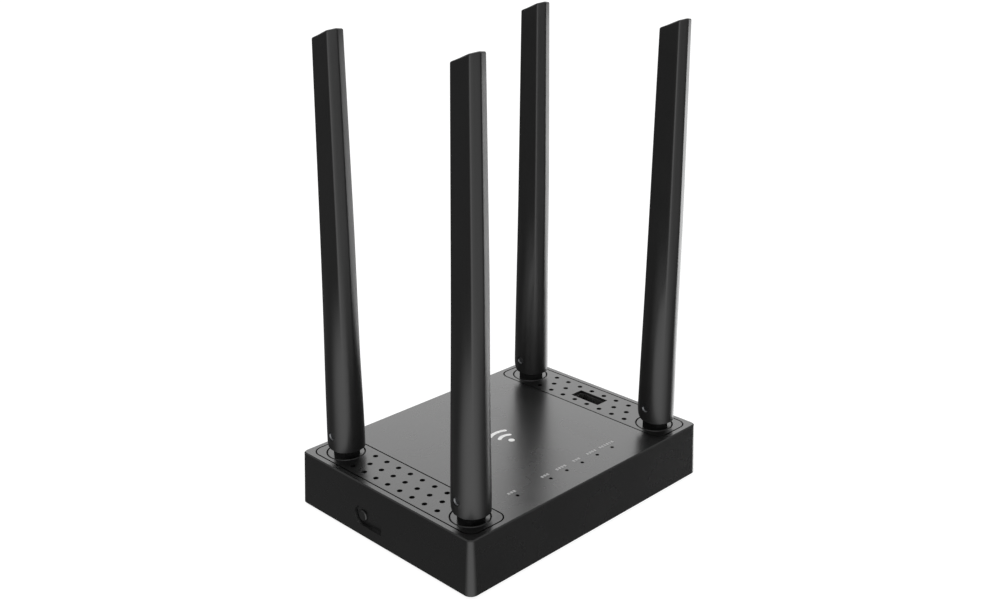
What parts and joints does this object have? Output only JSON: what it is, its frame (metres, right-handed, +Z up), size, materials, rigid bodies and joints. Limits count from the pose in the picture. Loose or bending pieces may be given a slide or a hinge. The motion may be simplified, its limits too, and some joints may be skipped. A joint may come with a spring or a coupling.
{
  "type": "wireless router",
  "caption": "Low black wireless router with upright folding antennas on swivels, vent panels, a top USB socket and network sockets at the back.",
  "frame": {"origin": "centre of the footprint, on the surface that the feet stand on", "axes": "+Z up, +Y to the back with the network sockets, +X to the right side with the USB socket"},
  "size_m": [0.1226, 0.091, 0.1753],
  "materials": {
    "black_abs": "moulded, satin",
    "antenna_abs": "moulded, satin",
    "cover_abs": "moulded, fine texture",
    "knuckle_pom": "moulded, semi gloss",
    "foot_rubber": "matt",
    "zinc_steel": "zinc plated",
    "black_steel": "black oxide",
    "tin_plate": "bright tin",
    "white_print": "matt printed film",
    "board_laminate": "solder mask",
    "chip_epoxy": "moulded epoxy",
    "sink_aluminium": "extruded",
    "can_sleeve": "shrink sleeve",
    "ferrite": "pressed ferrite",
    "led_lens": "diffusing",
    "smoked_acrylic": "smoked clear moulding",
    "jack_black": "moulded",
    "jack_blue": "moulded",
    "jack_yellow": "moulded",
    "gold_contact": "gold flash",
    "usb_insulator": "moulded",
    "switch_body": "moulded",
    "lead_jacket": "extruded jacket",
    "brass_aerial": "drawn"
  },
  "bodies": {
    "case": {"top_shell": "black_abs", "bottom_cover": "cover_abs", "left_vent_panel": "black_abs", "right_vent_panel": "black_abs", "rubber_feet": "foot_rubber", "case_screws": "zinc_steel", "blank_label": "white_print", "main_board": "board_laminate", "board_screws": "zinc_steel", "processor_chip": "chip_epoxy", "memory_chips": "chip_epoxy", "heat_sink": "sink_aluminium", "radio_shields": "tin_plate", "network_transformers": "chip_epoxy", "power_capacitors": "can_sleeve", "power_coils": "ferrite", "status_leds": "led_lens", "light_pipe": "smoked_acrylic", "power_jack": "jack_black", "power_jack_pin": "tin_plate", "wan_jack": "jack_blue", "lan_jack_1": "jack_yellow", "lan_jack_2": "jack_yellow", "lan_jack_3": "jack_yellow", "jack_contacts": "gold_contact", "usb_shell": "tin_plate", "usb_tongue": "usb_insulator", "side_switch": "switch_body", "antenna_ports": "gold_contact", "lead_plugs": "tin_plate", "front_left_lead": "lead_jacket", "rear_left_lead": "lead_jacket", "front_right_lead": "lead_jacket", "rear_right_lead": "lead_jacket"},
    "button": {"side_button": "black_abs", "switch_plunger": "usb_insulator"},
    "front_left_swivel": {"front_left_knuckle": "knuckle_pom", "front_left_clip": "zinc_steel"},
    "front_left_antenna": {"front_left_housing": "antenna_abs", "front_left_pin": "black_steel", "front_left_radiator": "brass_aerial"},
    "rear_left_swivel": {"rear_left_knuckle": "knuckle_pom", "rear_left_clip": "zinc_steel"},
    "rear_left_antenna": {"rear_left_housing": "antenna_abs", "rear_left_pin": "black_steel", "rear_left_radiator": "brass_aerial"},
    "front_right_swivel": {"front_right_knuckle": "knuckle_pom", "front_right_clip": "zinc_steel"},
    "front_right_antenna": {"front_right_housing": "antenna_abs", "front_right_pin": "black_steel", "front_right_radiator": "brass_aerial"},
    "rear_right_swivel": {"rear_right_knuckle": "knuckle_pom", "rear_right_clip": "zinc_steel"},
    "rear_right_antenna": {"rear_right_housing": "antenna_abs", "rear_right_pin": "black_steel", "rear_right_radiator": "brass_aerial"}
  },
  "joints": [
    {"name": "front_left_turn", "type": "hinge", "parent": "case", "child": "front_left_swivel", "pos_m": [-0.0491, -0.03285, 0.0214], "axis": [0, 0, 1], "range_deg": [-15, 165]},
    {"name": "front_left_fold", "type": "hinge", "parent": "front_left_swivel", "child": "front_left_antenna", "pos_m": [-0.0491, -0.03335, 0.02995], "axis": [-1, 0, 0], "range_deg": [0, 20]},
    {"name": "rear_left_turn", "type": "hinge", "parent": "case", "child": "rear_left_swivel", "pos_m": [-0.0491, 0.03285, 0.0214], "axis": [0, 0, 1], "range_deg": [-15, 165]},
    {"name": "rear_left_fold", "type": "hinge", "parent": "rear_left_swivel", "child": "rear_left_antenna", "pos_m": [-0.0491, 0.03235, 0.02995], "axis": [-1, 0, 0], "range_deg": [0, 90]},
    {"name": "front_right_turn", "type": "hinge", "parent": "case", "child": "front_right_swivel", "pos_m": [0.0491, -0.03285, 0.0214], "axis": [0, 0, -1], "range_deg": [-15, 165]},
    {"name": "front_right_fold", "type": "hinge", "parent": "front_right_swivel", "child": "front_right_antenna", "pos_m": [0.0491, -0.03335, 0.02995], "axis": [-1, 0, 0], "range_deg": [0, 20]},
    {"name": "rear_right_turn", "type": "hinge", "parent": "case", "child": "rear_right_swivel", "pos_m": [0.0491, 0.03285, 0.0214], "axis": [0, 0, -1], "range_deg": [-15, 165]},
    {"name": "rear_right_fold", "type": "hinge", "parent": "rear_right_swivel", "child": "rear_right_antenna", "pos_m": [0.0491, 0.03235, 0.02995], "axis": [-1, 0, 0], "range_deg": [0, 90]},
    {"name": "side_button_press", "type": "slide", "parent": "case", "child": "button", "axis": [1, 0, 0], "range_m": [0, 0.0005], "stiffness_N_per_m": 400, "springref_m": -0.0005}
  ]
}
